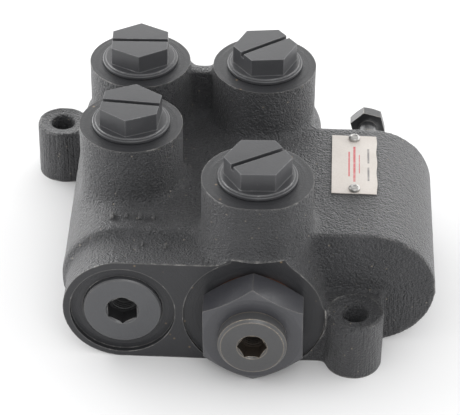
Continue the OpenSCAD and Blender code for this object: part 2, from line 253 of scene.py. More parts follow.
# %% Arithmetic for node trees
class Sums:
    def __init__(self, tree):
        self.tree = tree

    def node(self, kind, **settings):
        made = self.tree.nodes.new(kind)
        for key, value in settings.items():
            setattr(made, key, value)
        return made

    def feed(self, socket, value):
        if hasattr(value, "is_output"):
            self.tree.links.new(value, socket)
        else:
            socket.default_value = value

    def math(self, operation, *values):
        made = self.node("ShaderNodeMath", operation=operation)
        for socket, value in zip(made.inputs, values):
            self.feed(socket, value)
        return made.outputs[0]

    def add(self, a, b): return self.math("ADD", a, b)
    def sub(self, a, b): return self.math("SUBTRACT", a, b)
    def mul(self, a, b): return self.math("MULTIPLY", a, b)
    def abs(self, a): return self.math("ABSOLUTE", a)
    def least(self, *v): return v[0] if len(v) == 1 else self.math("MINIMUM", v[0], self.least(*v[1:]))
    def most(self, *v): return v[0] if len(v) == 1 else self.math("MAXIMUM", v[0], self.most(*v[1:]))
    def blend_in(self, a, b, k): return self.math("SMOOTH_MIN", a, b, k)
    def round_off(self, a, b, k): return self.math("SMOOTH_MAX", a, b, k)

    def radius(self, a, b):
        return self.math("SQRT", self.add(self.mul(a, a), self.mul(b, b)))

    def split(self, vector):
        made = self.node("ShaderNodeSeparateXYZ")
        self.feed(made.inputs[0], vector)
        return made.outputs

    def here(self):
        """The place on the object, in metres."""
        return self.node("ShaderNodeTexCoord").outputs["Object"]

    def range(self, value, low, high, out_low=0.0, out_high=1.0, smooth=False):
        made = self.node("ShaderNodeMapRange", interpolation_type="SMOOTHSTEP" if smooth else "LINEAR")
        for socket, v in zip(made.inputs, (value, low, high, out_low, out_high)):
            self.feed(socket, v)
        return made.outputs[0]


# %% [markdown]
# ## Materials
# The casting is black-phosphated iron: nearly black, with a fine orange-peel
# skin from the sand mould, and a soft sheen where light grazes it. Turned steel
# is darker and smoother, with rings left by the tool. The effects that several
# finishes share (worn edges, sand-cast grain, tool rings, specks of bare metal)
# are node groups, each placed with its own values. On the plastic port plugs the
# worn-edge group paints light rims as painted edge highlights. Texture sizes
# are in metres, on Object coordinates, so a pattern stays put when a body moves.

# %% Shader group: worn edges, and painted edge highlights on the plastic plugs
def new_group(name, inputs, outputs):
    tree = bpy.data.node_groups.new(name, "ShaderNodeTree")
    for label, kind, default in inputs:
        socket = tree.interface.new_socket(label, in_out="INPUT", socket_type="NodeSocket" + kind)
        socket.default_value = default
    for label, kind in outputs:
        tree.interface.new_socket(label, in_out="OUTPUT", socket_type="NodeSocket" + kind)
    sums = Sums(tree)
    return tree, sums, sums.node("NodeGroupInput").outputs, sums.node("NodeGroupOutput").inputs


def noise_of(sums, vector, scale, detail=2.0, rough=0.5, dims="3D"):
    made = sums.node("ShaderNodeTexNoise", noise_dimensions=dims)
    if dims == "1D":
        sums.feed(made.inputs["W"], vector)
    else:
        sums.feed(made.inputs["Vector"], vector)
    sums.feed(made.inputs["Scale"], scale)
    made.inputs["Detail"].default_value = detail
    made.inputs["Roughness"].default_value = rough
    return made.outputs["Fac"]


EDGE, s, i, o = new_group("edge_wear", [
    ("Radius", "Float", 0.0006), ("Patchiness", "Float", 0.5), ("Start", "Float", 0.02),
    ("Full", "Float", 0.2)], [("Mask", "Float")])
bevelled = s.node("ShaderNodeBevel", samples=6)
s.feed(bevelled.inputs["Radius"], i["Radius"])
true_normal = s.node("ShaderNodeNewGeometry").outputs["Normal"]
facing = s.node("ShaderNodeVectorMath", operation="DOT_PRODUCT")
s.feed(facing.inputs[0], bevelled.outputs[0])
s.feed(facing.inputs[1], true_normal)
bend = s.sub(1.0, facing.outputs["Value"])
patches = noise_of(s, s.here(), 160.0, 4.0, 0.65)
edge = s.range(bend, i["Start"], i["Full"])
kept = s.range(patches, s.sub(0.62, s.mul(i["Patchiness"], 0.3)), 0.66)
s.feed(o["Mask"], s.mul(edge, s.most(kept, s.sub(1.0, s.mul(i["Patchiness"], 1.6)))))
print("edge_wear group made")

# %% Shader group: the skin that a sand mould leaves
GRAIN, s, i, o = new_group(
    "cast_grain", [("Peel", "Float", 1.0), ("Waves", "Float", 1.0), ("Pits", "Float", 1.0)],
    [("Height", "Float"), ("Tone", "Float")])
where = s.here()
peel = noise_of(s, where, 950.0, 3.0, 0.55)
waves = noise_of(s, where, 330.0, 1.0, 0.5)
pit = s.range(noise_of(s, where, 330.0, 1.0, 0.4), 0.60, 0.72)
height = s.add(s.mul(peel, i["Peel"]), s.mul(waves, i["Waves"]))
s.feed(o["Height"], s.sub(height, s.mul(pit, i["Pits"])))
s.feed(o["Tone"], s.add(s.mul(noise_of(s, where, 40.0, 3.0, 0.6), 0.6), s.mul(peel, 0.4)))
print("cast_grain group made")

# %% Shader group: rings left by a turning or facing tool
RINGS, s, i, o = new_group("tool_rings", [("Distance", "Float", 0.0), ("Pitch", "Float", 0.0004)],
                           [("Height", "Float")])
count = s.math("DIVIDE", i["Distance"], i["Pitch"])
fine = noise_of(s, count, 1.0, 2.0, 0.6, "1D")
broad = noise_of(s, count, 0.17, 1.0, 0.5, "1D")
s.feed(o["Height"], s.add(s.mul(fine, 0.6), s.mul(broad, 0.6)))
print("tool_rings group made")

# %% Shader group: specks of bare metal and dust
SPECKS, s, i, o = new_group(
    "specks", [("Scale", "Float", 500.0), ("Share", "Float", 0.03)], [("Mask", "Float")])
where = s.here()
cells = s.node("ShaderNodeTexVoronoi")
s.feed(cells.inputs["Vector"], where)
s.feed(cells.inputs["Scale"], i["Scale"])
chosen = s.math("LESS_THAN", noise_of(s, cells.outputs["Position"], 900.0, 0.0), s.add(0.2, i["Share"]))
s.feed(o["Mask"], s.mul(chosen, s.range(cells.outputs["Distance"], 0.0, 0.28, 1.0, 0.0)))
print("specks group made")


# %% Material helpers
def new_material(name, **plain):
    """A Principled material. The plain values are set straight on its sockets."""
    material = bpy.data.materials.new(name)
    material.use_nodes = True
    sums = Sums(material.node_tree)
    shader = material.node_tree.nodes["Principled BSDF"]
    for key, value in plain.items():
        shader.inputs[key.replace("_", " ")].default_value = value
    return material, sums, shader


def use(sums, group, **values):
    made = sums.node("ShaderNodeGroup", node_tree=group)
    for key, value in values.items():
        sums.feed(made.inputs[key], value)
    return made.outputs


def mix_colour(sums, share, a, b):
    made = sums.node("ShaderNodeMix", data_type="RGBA")
    sums.feed(made.inputs["Factor"], share)
    for socket, value in ((made.inputs[6], a), (made.inputs[7], b)):
        sums.feed(socket, (*value, 1.0) if isinstance(value, tuple) else value)
    return made.outputs[2]


def by_tone(sums, skin, low, high):
    """A number or a colour that follows the tone of the cast_grain group."""
    if isinstance(low, tuple):
        return mix_colour(sums, sums.range(skin["Tone"], 0.3, 0.7), low, high)
    return sums.range(skin["Tone"], 0.3, 0.7, low, high)


def bump(sums, shader, height, depth):
    made = sums.node("ShaderNodeBump")
    made.inputs["Distance"].default_value = depth
    made.inputs["Strength"].default_value = 1.0
    sums.feed(made.inputs["Height"], height)
    sums.feed(shader.inputs["Normal"], made.outputs[0])


def axis_distance(sums, centre, axis):
    """Distance from a line through a centre, in metres: axis 'Y' or 'Z'."""
    place_xyz = sums.split(sums.here())
    across = sums.sub(place_xyz[0], centre[0] * MM)
    return sums.radius(across, sums.sub(place_xyz[2 if axis == "Y" else 1], centre[1] * MM))


# %% Cast skin
CAST, s, shader = new_material("cast_skin", Specular_IOR_Level=0.68, Sheen_Weight=0.12, Sheen_Roughness=0.4)
skin = use(s, GRAIN, Peel=0.9, Waves=0.7, Pits=0.4)
edge_mask = use(s, EDGE, Radius=0.0022, Patchiness=0.55, Start=0.02, Full=0.13)["Mask"]
spots = use(s, SPECKS, Scale=420.0, Share=0.085)["Mask"]
base = by_tone(s, skin, (0.011, 0.0115, 0.0135), (0.038, 0.0385, 0.042))
base = mix_colour(s, edge_mask, base, (0.28, 0.27, 0.255))
base = mix_colour(s, s.mul(spots, 0.9), base, (0.34, 0.29, 0.22))
s.feed(shader.inputs["Base Color"], base)
s.feed(shader.inputs["Roughness"], by_tone(s, skin, 0.34, 0.48))
drag = s.node("ShaderNodeMapping")
s.feed(drag.inputs["Vector"], s.here())
drag.inputs["Scale"].default_value = (1.0, 1.0, 0.08)
striations = noise_of(s, drag.outputs[0], 900.0, 2.0)
below = s.range(s.split(s.here())[2], 0.0335, 0.0355, 1.0, 0.0)  # drag marks only under the parting line
skin_height = s.add(skin["Height"], s.mul(s.mul(striations, below), 0.9))
bump(s, shader, skin_height, 0.0016)
print("cast_skin made")

# %% Machined faces of the casting: rings about each port and about both front bores
MACHINED, s, shader = new_material("machined_skin", Specular_IOR_Level=0.48)
across = s.least(*[axis_distance(s, (p[0], p[1]), "Z") for p in PORTS.values()])
along = s.least(axis_distance(s, (LEFT_X, BORE_Z), "Y"), axis_distance(s, (RIGHT_X, BORE_Z), "Y"))
upward = s.math("GREATER_THAN", s.split(s.node("ShaderNodeNewGeometry").outputs["Normal"])[2], 0.7)
distance = s.add(s.mul(upward, across), s.mul(s.sub(1.0, upward), along))
rings = use(s, RINGS, Distance=distance, Pitch=0.00032)["Height"]
edge_mask = use(s, EDGE, Radius=0.0011, Patchiness=0.45, Start=0.01, Full=0.14)["Mask"]
skin = use(s, GRAIN, Peel=0.5, Waves=0.2, Pits=0.1)
spots = use(s, SPECKS, Scale=300.0, Share=0.08)["Mask"]
base = by_tone(s, skin, (0.019, 0.0193, 0.0215), (0.027, 0.0275, 0.0305))
base = mix_colour(s, s.mul(edge_mask, 0.9), base, (0.32, 0.31, 0.295))
base = mix_colour(s, s.mul(spots, 0.8), base, (0.32, 0.22, 0.12))
s.feed(shader.inputs["Base Color"], base)
s.feed(shader.inputs["Roughness"], s.range(rings, 0.3, 0.9, 0.33, 0.46))
bump(s, shader, s.add(s.mul(rings, 0.6), skin["Height"]), 0.00022)
print("machined_skin made")


# %% Turned and blackened steel
def black_steel(name, centre, dark=(0.014, 0.0142, 0.0155), light=(0.022, 0.0222, 0.0245), wear=0.8,
                bare=(0.36, 0.34, 0.31), pitch=0.0003):
    material, s, shader = new_material(name, Specular_IOR_Level=0.7)
    rings = use(s, RINGS, Distance=axis_distance(s, centre, "Y"), Pitch=pitch)["Height"]
    edge_mask = use(s, EDGE, Radius=0.0011, Patchiness=0.38, Start=0.01, Full=0.12)["Mask"]
    skin = use(s, GRAIN, Peel=0.5, Waves=0.5, Pits=0.3)
    spots = use(s, SPECKS, Scale=700.0, Share=0.03)["Mask"]
    base = by_tone(s, skin, dark, light)
    base = mix_colour(s, s.mul(edge_mask, wear), base, bare)
    base = mix_colour(s, s.mul(spots, 0.35), base, (0.25, 0.20, 0.14))
    s.feed(shader.inputs["Base Color"], base)
    s.feed(shader.inputs["Metallic"], s.mul(edge_mask, wear))
    s.feed(shader.inputs["Roughness"], s.range(rings, 0.3, 0.9, 0.28, 0.42))
    bump(s, shader, s.add(s.mul(rings, 0.6), skin["Height"]), 0.00012)
    print(name, "made")
    return material


STEEL_LEFT = black_steel("black_steel_left", (LEFT_X, BORE_Z),
                         (0.055, 0.0565, 0.061), (0.066, 0.068, 0.073), wear=0.6)
STEEL_CAP = black_steel("black_steel_cap", (RIGHT_X, BORE_Z),
                        (0.034, 0.0345, 0.040), (0.046, 0.0465, 0.053), wear=0.9)
STEEL_COVER = black_steel("black_steel_cover", (RIGHT_X, BORE_Z),
                          (0.042, 0.042, 0.043), (0.058, 0.058, 0.060), 1.0, (0.68, 0.57, 0.42), 0.0005)
STEEL_LOBE = black_steel("black_steel_lobe", (LOBE_X, LOBE_Z))

# %% Moulded plastic of the port plugs
PLASTIC, s, shader = new_material("plug_plastic", Specular_IOR_Level=0.65)
skin = use(s, GRAIN, Peel=0.5, Waves=0.25, Pits=0.0)
edge_mask = use(s, EDGE, Radius=0.0010, Patchiness=0.40, Start=0.01, Full=0.12)["Mask"]
spots = use(s, SPECKS, Scale=800.0, Share=0.04)["Mask"]
base = by_tone(s, skin, (0.036, 0.0365, 0.0395), (0.047, 0.0475, 0.051))
# Light grey along the edge mask: painted highlights on the rims of the plug's flange, hexagon and slot.
base = mix_colour(s, s.mul(edge_mask, 0.8), base, (0.34, 0.34, 0.345))
base = mix_colour(s, s.mul(spots, 0.4), base, (0.25, 0.24, 0.22))
s.feed(shader.inputs["Base Color"], base)
s.feed(shader.inputs["Roughness"], by_tone(s, skin, 0.30, 0.44))
bump(s, shader, skin["Height"], 0.00010)
print("plug_plastic made")


# %% Bright metals and rubber, and the painted-shade finishes of a hole and the sockets: one helper, since only colour, roughness and grain differ
def plain_finish(name, dark, light, metal, rough, peel, depth, wear_to=None, gloss=0.5):
    material, s, shader = new_material(name, Metallic=metal, Specular_IOR_Level=gloss)
    skin = use(s, GRAIN, Peel=peel, Waves=0.4, Pits=0.2)
    base = by_tone(s, skin, dark, light)
    if wear_to:
        edge_mask = use(s, EDGE, Radius=0.0005, Patchiness=0.4, Start=0.02, Full=0.2)["Mask"]
        base = mix_colour(s, edge_mask, base, wear_to)
    s.feed(shader.inputs["Base Color"], base)
    s.feed(shader.inputs["Roughness"], by_tone(s, skin, rough[0], rough[1]))
    bump(s, shader, skin["Height"], depth)
    print(name, "made")
    return material


GROUND = plain_finish("ground_steel", (0.42, 0.42, 0.43), (0.55, 0.55, 0.56),
                      1.0, (0.22, 0.34), 0.3, 0.00002)
SPRING = plain_finish("spring_steel", (0.14, 0.14, 0.15), (0.24, 0.24, 0.25),
                      1.0, (0.30, 0.42), 0.4, 0.00003)
ZINC = plain_finish("zinc_steel", (0.30, 0.30, 0.30), (0.46, 0.45, 0.43),
                    1.0, (0.34, 0.50), 0.8, 0.00004, (0.65, 0.64, 0.62))
COPPER = plain_finish("copper_washer", (0.20, 0.065, 0.030), (0.34, 0.13, 0.06),
                      1.0, (0.34, 0.52), 0.8, 0.00004, (0.62, 0.33, 0.18))
# Near-black finish for a lug hole: painted shade inside the hole.
HOLE_SHADE = plain_finish("lug_dish_black", (0.006, 0.006, 0.006), (0.016, 0.016, 0.016),
                    0.0, (0.5, 0.7), 1.0, 0.00008, gloss=0.2)
# Darker steel for the spool plugs' key sockets: painted shade in the sockets.
SOCKET_SHADE = plain_finish("socket_oiled_steel", (0.018, 0.018, 0.019), (0.034, 0.034, 0.036),
                     0.0, (0.35, 0.5), 1.0, 0.00008)
# Rust in the cover plug's socket, made very dark at its low end as painted shade in the socket.
RUST_AND_SHADE = plain_finish("socket_rust", (0.009, 0.008, 0.007), (0.045, 0.028, 0.016),
                    0.0, (0.6, 0.8), 1.2, 0.0001)
RUBBER = plain_finish("seal_rubber", (0.012, 0.012, 0.012), (0.020, 0.020, 0.020),
                      0.0, (0.45, 0.58), 0.6, 0.00003)

# %% [markdown]
# ## The casting
# The real body is poured iron: round walls that run into each other with soft
# fillets, and flat faces milled afterwards. Subdivision or bevels struggle where
# five round walls meet, so the blank is written as a distance field instead.
# Each wall is a simple formula, a smooth minimum joins two walls with a fillet,
# and a smooth maximum rounds an outer edge. Geometry Nodes samples the field in
# a Volume Cube and turns it into a mesh. The milled faces come after, as
# booleans, because a milled edge is crisp where a cast one is round.


# %% Geometry Nodes: a tree with named inputs
def new_shape_tree(name, inputs):
    tree = bpy.data.node_groups.new(name, "GeometryNodeTree")
    tree.interface.new_socket("Geometry", in_out="INPUT", socket_type="NodeSocketGeometry")
    for label, kind, default in inputs:
        socket = tree.interface.new_socket(label, in_out="INPUT", socket_type="NodeSocket" + kind)
        if default is not None:
            socket.default_value = default
    tree.interface.new_socket("Geometry", in_out="OUTPUT", socket_type="NodeSocketGeometry")
    sums = Sums(tree)
    return tree, sums, sums.node("NodeGroupInput").outputs, sums.node("NodeGroupOutput").inputs


def close_tree(sums, geometry, inputs, outputs):
    """Every tree ends the same way: real geometry, with its material set."""
    real = sums.node("GeometryNodeRealizeInstances")
    sums.feed(real.inputs[0], geometry)
    painted = sums.node("GeometryNodeSetMaterial")
    sums.feed(painted.inputs["Geometry"], real.outputs[0])
    sums.feed(painted.inputs["Material"], inputs["Material"])
    sums.feed(outputs["Geometry"], painted.outputs[0])


def grow(obj, tree, **values):
    """Runs a tree on an object with its inputs set by identifier, and keeps the plain mesh."""
    step = obj.modifiers.new("shape", "NODES")
    step.node_group = tree
    for item in tree.interface.items_tree:
        if item.in_out == "INPUT" and item.name.replace(" ", "_") in values:
            step[item.identifier] = values[item.name.replace(" ", "_")]
    return settle(obj)


# %% The field of the blank
BLANK, s, i, o = new_shape_tree("cast_blank", [
    ("Root fillet", "Float", 0.012), ("Outer edge", "Float", 0.006), ("Ripple", "Float", 0.0003),
    ("Cell", "Float", 0.0014), ("Material", "Material", None)])
X, Y, Z = s.split(s.node("GeometryNodeInputPosition").outputs[0])
STOCK = 4.0  # extra iron on each face that is milled later


def slab(value, low, high):
    """Distance to the space between two planes."""
    return s.sub(s.abs(s.sub(value, (low + high) / 2 * MM)), (high - low) / 2 * MM)


def stadium_y(x0, x1, z, r, y0, y1, edge=None):
    """A round-ended wall along Y: every point within r of the line from x0 to x1."""
    reach = s.most(slab(X, min(x0, x1), max(x0, x1)), 0.0)
    edge = edge or i["Outer edge"]
    return s.round_off(s.sub(s.radius(reach, s.sub(Z, z * MM)), r * MM), slab(Y, y0, y1), edge)


def column(x, y, r, z0, z1, edge=0.0025):
    return s.round_off(s.sub(s.radius(s.sub(X, x * MM), s.sub(Y, y * MM)), r * MM), slab(Z, z0, z1), edge)


def wall(x0, x1, y0, y1, z0, z1):
    flat = s.round_off(slab(X, x0, x1), slab(Y, y0, y1), 0.003)
    return s.round_off(flat, slab(Z, z0, z1), 0.0025)


# %% Body and lobe, joined from the inside out
MID_Z = 34.5  # the parting line of the mould, and the middle of the body
STEP_Y = -65  # the body is a little lower in front of this step
CAP_SPOT_Z = 31  # the spotface round the relief cap is lower than its bore
main = stadium_y(LEFT_X, RIGHT_X, MID_Z, MID_Z, STEP_Y, REAR_Y)
taper_r = s.range(Y, STEP_Y * MM, REAR_Y * MM, 0.0353, 0.0382)
left = s.sub(s.radius(s.sub(X, LEFT_X * MM), s.sub(Z, MID_Z * MM)), taper_r)
left = s.round_off(left, slab(Y, STEP_Y, REAR_Y), i["Outer edge"])
front = stadium_y(LEFT_X, RIGHT_X, 32.7, 32.7, FRONT_Y - STOCK, -60)
cap_boss = stadium_y(RIGHT_X, RIGHT_X + 0.01, CAP_SPOT_Z, 38, FRONT_Y - STOCK, -66)
body = s.blend_in(s.least(main, left), s.blend_in(front, cap_boss, 0.004), 0.0085)
lobe = stadium_y(RIGHT_X, LOBE_X, LOBE_Z, LOBE_Z, -69, 34, edge=0.0018)
parting = s.range(s.abs(s.sub(Z, MID_Z * MM)), 0.0, 0.0018, 0.0006, 0.0, smooth=True)
lobe = s.sub(lobe, parting)
body = s.blend_in(body, lobe, 0.008)
print("body and lobe:", len(BLANK.nodes), "nodes")

# %% Bosses, bridge and lugs
ROOT_Z, UNDER_Z = 30, -9  # columns start inside the body, and lugs run past the base
LUG_TOP = 35
LUG_HOLES = [(89.5, -87.0), (-89.5, 87.0)]
bosses = s.least(*[column(x, y, r, ROOT_Z, PORT_Z + STOCK) for x, y, r, turn in PORTS.values()])
# The front right boss is nearly flush with the front face low down, and fuller by its top.
low_z, top_z = 0.076, 0.090
front_limit = s.range(Z, low_z, top_z, -0.0897, -0.0912, smooth=True)
bosses = s.round_off(bosses, s.sub(front_limit, Y), s.range(Z, low_z, top_z, 0.003, 0.006, smooth=True))
bridge = wall(LEFT_X, RIGHT_X, 49.5, 58.5, ROOT_Z, 98)
bosses = s.blend_in(bosses, bridge, 0.008)
lugs = s.least(*[column(x, y, 15.4, UNDER_Z, LUG_TOP, edge=0.0012) for x, y in LUG_HOLES])
webs = s.least(wall(40, 104.3, -88.5, -60, UNDER_Z, 34.3), wall(-89.5, -40, 72.2, 89, UNDER_Z, 34.3))
lugs = s.blend_in(lugs, webs, 0.005)
body = s.blend_in(body, lugs, 0.006)
field = s.blend_in(body, bosses, i["Root fillet"])
print("wall formulas:", len(BLANK.nodes), "nodes")

# %% Sample the field and skin it
ripple = noise_of(s, s.node("GeometryNodeInputPosition").outputs[0], 95.0, 1.0)
field = s.add(field, s.mul(s.sub(ripple, 0.5), i["Ripple"]))
low, high = (-112, -108, -10), (140, 108, 113)
cube = s.node("GeometryNodeVolumeCube")
s.feed(cube.inputs["Density"], s.mul(field, -1.0))
cube.inputs["Background"].default_value = -0.01
cube.inputs["Min"].default_value = [v * MM for v in low]
cube.inputs["Max"].default_value = [v * MM for v in high]
for axis, label in enumerate(("Resolution X", "Resolution Y", "Resolution Z")):
    cells = s.math("DIVIDE", (high[axis] - low[axis]) * MM, i["Cell"])
    s.feed(cube.inputs[label], s.math("ROUND", cells))
skin = s.node("GeometryNodeVolumeToMesh", resolution_mode="GRID")
s.feed(skin.inputs["Volume"], cube.outputs[0])
skin.inputs["Threshold"].default_value = 0.0
close_tree(s, skin.outputs[0], i, o)
casting = new_object("body_casting", [], [])
grow(casting, BLANK, Root_fillet=0.010, Outer_edge=0.005, Ripple=0.00035, Cell=0.0014, Material=CAST)
print("blank:", len(casting.data.polygons), "faces", [round(v, 3) for v in casting.dimensions])

# %% [markdown]
# ## Machining
# The shop faces the base, the front and the boss tops, sinks a ring round each
# bore, and drills the bores. Each tool is a closed turned shape, and the faces
# that it leaves take the machined finish.


# %% Cutting the casting
def mill(cutter, finish=MACHINED):
    """Cuts the casting with a closed shape. The faces that it leaves take the finish."""
    cutter.data.materials.append(finish)
    machine(casting, cutter)


def bore(profile, where, turn=Matrix.Identity(4), finish=MACHINED):
    """Cuts with a turned shape of (radius, depth) pairs, its depth running out of the face."""
    ends_closed = [(0, profile[0][1])] + profile + [(0, profile[-1][1])]
    mill(place(turned("cutter", ends_closed), where, turn), finish)


casting.data.materials.clear()
casting.data.materials.append(CAST)
casting.data.materials.append(MACHINED)
mill(block("base", -200, 200, -200, 200, -40, 0))
mill(block("tops", -200, 200, -200, 200, PORT_Z, 140))
CUT_TOP = 70  # the front mill's reach: the boss above it stays as cast
mill(block("front_face", -90, 71.5, -130, FRONT_Y, -10, CUT_TOP))
print("faced:", len(casting.data.polygons), "faces; materials", [m.name for m in casting.data.materials])

# %% Spotfaces round the front bores and at the rear
SEAT = FRONT_Y + 1.6
for y, turn_to in ((SEAT, TO_FRONT), (-SEAT, TO_REAR)):
    bore([(28.85, -1.4), (28.85, 12)], (LEFT_X, y, BORE_Z), turn_to)
bore([(39, 0), (39, 12)], (RIGHT_X, SEAT, CAP_SPOT_Z), TO_FRONT)
flat_cut = prism("flat_cut", [(-13, CAP_SPOT_Z), (24.5, CAP_SPOT_Z), (24.5, 61), (18.6, CUT_TOP),
                              (-11.5, CUT_TOP), (-13, 68.5)], 0, 20)
mill(place(flat_cut, (RIGHT_X, SEAT, 0), TO_FRONT))
print("spotfaced:", len(casting.data.polygons), "faces")

# %% Ports and the spool bore
THREAD_R, MOUTH_R, MOUTH_D = 16.65, 19.2, 3.6
for x, y, r, turn in PORTS.values():
    bore([(13, -73), (13, -20), (THREAD_R, -20), (THREAD_R, -MOUTH_D), (MOUTH_R, 0), (MOUTH_R, 8)],
         (x, y, PORT_Z))
HEAD_SINK, HEAD_BORE_R, SPOOL_R = 2.6, 22.0, 15.9
hair = 0.001  # keeps two rings of the profile apart
end = [(MOUTH_R, HEAD_SINK + hair), (THREAD_R, HEAD_SINK + MOUTH_D), (THREAD_R, HEAD_SINK + 20),
       (SPOOL_R, HEAD_SINK + 20)]
far = 2 * SEAT
near_end = [(HEAD_BORE_R, 6), (HEAD_BORE_R, -HEAD_SINK), (HEAD_BORE_R, -HEAD_SINK - hair)]
near_end += [(r, -d) for r, d in end]
far_end = [(r, far + d) for r, d in reversed(end)]
far_end += [(HEAD_BORE_R, far + HEAD_SINK), (HEAD_BORE_R, far - 6)]
bore(near_end + far_end, (LEFT_X, SEAT, BORE_Z), TO_FRONT)
for y in (PORTS["front_left"][1], PORTS["rear_left"][1]):
    bore([(22, -12), (22, 12)], (LEFT_X, y, BORE_Z), TO_REAR)
print("left side bored:", len(casting.data.polygons), "faces")

# %% Relief bore and control bore


def out_to(y):
    """Depth, out of the front seat, of a plane at y."""
    return SEAT - y


bore([(12, out_to(72)), (12, out_to(-33)), (17.05, out_to(-33)), (17.05, out_to(-42)), (23, out_to(-42)),
      (23, out_to(-76)), (20.65, out_to(-76)), (20.65, 6)], (RIGHT_X, SEAT, BORE_Z), TO_FRONT)
bore([(22, -12), (22, 12)], (RIGHT_X, PORTS["rear_right"][1], BORE_Z), TO_REAR)
NOSE_L = 17  # length of the bonnet's nose, inside the lobe
bonnet_y = low_of("control_bonnet", 1) + NOSE_L
bore([(17, -50 - bonnet_y), (17, -NOSE_L), (19.05, -NOSE_L), (19.05, -3.6), (21.6, 0), (26, 0), (26, 8)],
     (LOBE_X, bonnet_y, LOBE_Z), TO_REAR)
print("right side bored:", len(casting.data.polygons), "faces")

# %% Cross passages, lug holes and screw holes
for x, y, z, length in ((LEFT_X, 16, BORE_Z, RIGHT_X - LEFT_X), (RIGHT_X, -20, BORE_Z + 2, LOBE_X - RIGHT_X)):
    mill(place(rod("passage", 9.5, 0, length), (x, y, z), TO_RIGHT))
# The front right lug's hole and its dish take the near-black finish, painted shade in the hole; the other lug
# keeps the cast skin.
for (x, y), dish in zip(LUG_HOLES, (HOLE_SHADE, CAST)):
    bore([(7.15, -50), (7.15, -1.9), (7.6, -1.3), (8.6, -0.9), (13.2, -0.35), (14.3, 0.2), (14.3, 8)],
         (x, y, LUG_TOP), finish=dish)
plate_mid = (mid("name_plate", 0), mid("name_plate", 1))
PLATE_Z, SCREW_Y = 73, 24.5  # the lobe's top, and each screw's distance from the plate's middle
for side in (-SCREW_Y, SCREW_Y):
    bore([(1.55, -7), (1.55, 8)], (plate_mid[0], plate_mid[1] + side, PLATE_Z))
soften(casting, 0, angle=40, flats=False)
print("casting:", len(casting.data.polygons), "faces")

# %% Hand the casting to the frame
finish_piece(casting, None, "valve", "cast_body", "valve_body")

# %% [markdown]
# ## Threads and springs
# A thread and a coil spring are the same thing: a small section carried along a
# helix. Geometry Nodes has the helix as a Spiral curve, so one tree makes both.
# The inputs are the radius, the pitch, the turns and the section.

# %% The helix tree
COIL, s, i, o = new_shape_tree("helix", [
    ("Radius", "Float", 0.01), ("Height", "Float", 0.02), ("Turns", "Float", 8.0),
    ("Section", "Float", 0.001), ("Sides", "Int", 10), ("Steps", "Int", 40), ("Material", "Material", None)])
spiral = s.node("GeometryNodeCurveSpiral")
for label, source in (("Resolution", "Steps"), ("Rotations", "Turns"), ("Start Radius", "Radius"),
                      ("End Radius", "Radius"), ("Height", "Height")):
    s.feed(spiral.inputs[label], i[source])
ring = s.node("GeometryNodeCurvePrimitiveCircle")
s.feed(ring.inputs["Resolution"], i["Sides"])
s.feed(ring.inputs["Radius"], i["Section"])
tube = s.node("GeometryNodeCurveToMesh")
s.feed(tube.inputs["Curve"], spiral.outputs[0])
s.feed(tube.inputs["Profile Curve"], ring.outputs[0])
tube.inputs["Fill Caps"].default_value = True
close_tree(s, tube.outputs[0], i, o)


def helix(name, radius, height, turns, section, sides, steps, material):
    made = new_object(name, [], [])
    grow(made, COIL, Radius=radius * MM, Height=height * MM, Turns=float(turns), Section=section * MM,
         Sides=sides, Steps=steps, Material=material)
    return face_outwards(made)


def join(target, *others):
    """Joins closed shells into one mesh, the others' materials lost."""
    bm = bmesh.new()
    bm.from_mesh(target.data)
    for other in others:
        bm.from_mesh(other.data)
        drop(other)
    bm.to_mesh(target.data)
    bm.free()
    return target


print("helix tree:", len(COIL.nodes), "nodes")

# %% [markdown]
# ## Springs
# A spring has to shorten when the piece at its end moves. Here a spring with
# one moving end is one helix, and a spring with two moving ends is two half
# helices that meet in the middle. Each rides on the valve body.


def spring(node, wire, turns, ends):
    """ends is one (joint, travel in millimetres) for each end, low Y first, or None for a still end. The
    joint and the travel are not used; only the count of moving ends is.
    """
    low, high = low_of(node, 1), high_of(node, 1)
    moving = [end for end in ends if end]
    share = 1 / len(moving)
    r, rise = (high_of(node, 0) - low_of(node, 0) - wire) / 2, (high - low - wire) * share
    for k, (joint, travel) in enumerate(moving):
        part = helix(f"{node}_coil_{k + 1}", r, rise, turns * share, wire / 2, 10, 28, SPRING)
        place(part, turn=Matrix.Rotation(2 * math.pi * turns * share * k, 4, "Z"))
        place(part, (mid(node, 0), low + wire / 2 + rise * k, mid(node, 2)), TO_REAR)
        soften(part, 0, angle=50, flats=False)
        finish_piece(part, SPRING, "valve", "spring_steel", *([node] if k == 0 else []))
        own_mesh(part)


spring("spool_spring", 2.6, 9, [("spool_slide", 12), None])
spring("relief_spring", 2.8, 4.5, [("relief_guide_travel", 3.8), ("poppet_lift", 5)])
spring("control_spring", 3.2, 6, [("piston_slide", 8), ("control_guide_travel", 11.7)])

# %% [markdown]
# ## Port plugs
# Each port is shut by a moulded plug: a threaded nose, a round flange, a low
# cone, and a hexagon with a screwdriver slot across it. The turned parts and the
# hexagon are joined by booleans, the slot is cut, and a bevel of a tenth or two
# of a millimetre breaks the edges as a mould does.


